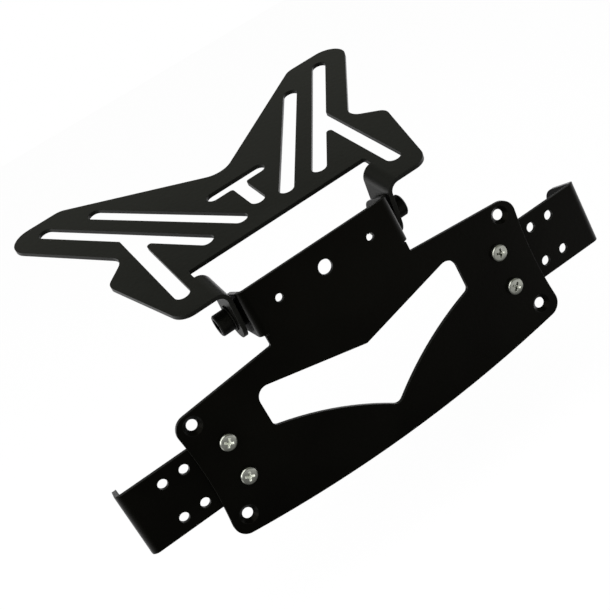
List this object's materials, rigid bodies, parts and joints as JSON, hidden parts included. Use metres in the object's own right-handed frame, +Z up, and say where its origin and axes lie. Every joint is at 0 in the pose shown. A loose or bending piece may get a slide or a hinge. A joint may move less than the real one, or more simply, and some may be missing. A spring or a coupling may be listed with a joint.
{
  "type": "motorcycle licence plate holder",
  "caption": "Tail-mounted licence plate holder for a motorcycle: slotted bracket, tilting plate carrier with a V window and adjustable indicator arms.",
  "frame": {"origin": "on the mounting bracket's upper face, on the centre line, 7.5 mm in front of the cut between its legs", "axes": "+X to the right seen from behind the motorcycle, +Y towards the front of the motorcycle, +Z up along the plate carrier, whose front face looks along -Y; the bracket rises 18.6 degrees towards the front"},
  "size_m": [0.242, 0.1301, 0.142],
  "materials": {
    "bracket_coat": "satin black powder coat",
    "plate_coat": "satin black powder coat",
    "black_steel": "black oxide",
    "zinc": "bright zinc plate"
  },
  "bodies": {
    "bracket": {"left_friction_washer": "black_steel", "left_head_washer": "zinc", "left_nut_washer": "zinc", "left_pivot_bolt": "black_steel", "left_pivot_nut": "zinc", "mounting_bracket": "bracket_coat", "right_friction_washer": "black_steel", "right_head_washer": "zinc", "right_nut_washer": "zinc", "right_pivot_bolt": "black_steel", "right_pivot_nut": "zinc"},
    "carrier": {"left_arm": "plate_coat", "left_lower_arm_nut": "zinc", "left_lower_arm_screw": "zinc", "left_lower_arm_washer": "zinc", "left_upper_arm_nut": "zinc", "left_upper_arm_screw": "zinc", "left_upper_arm_washer": "zinc", "main_plate": "plate_coat", "right_arm": "plate_coat", "right_lower_arm_nut": "zinc", "right_lower_arm_screw": "zinc", "right_lower_arm_washer": "zinc", "right_upper_arm_nut": "zinc", "right_upper_arm_screw": "zinc", "right_upper_arm_washer": "zinc"}
  },
  "joints": [
    {"name": "plate_tilt", "type": "hinge", "parent": "bracket", "child": "carrier", "pos_m": [0, -0.01592, -0.02667], "axis": [1, 0, 0], "range_deg": [-70, 70]}
  ]
}
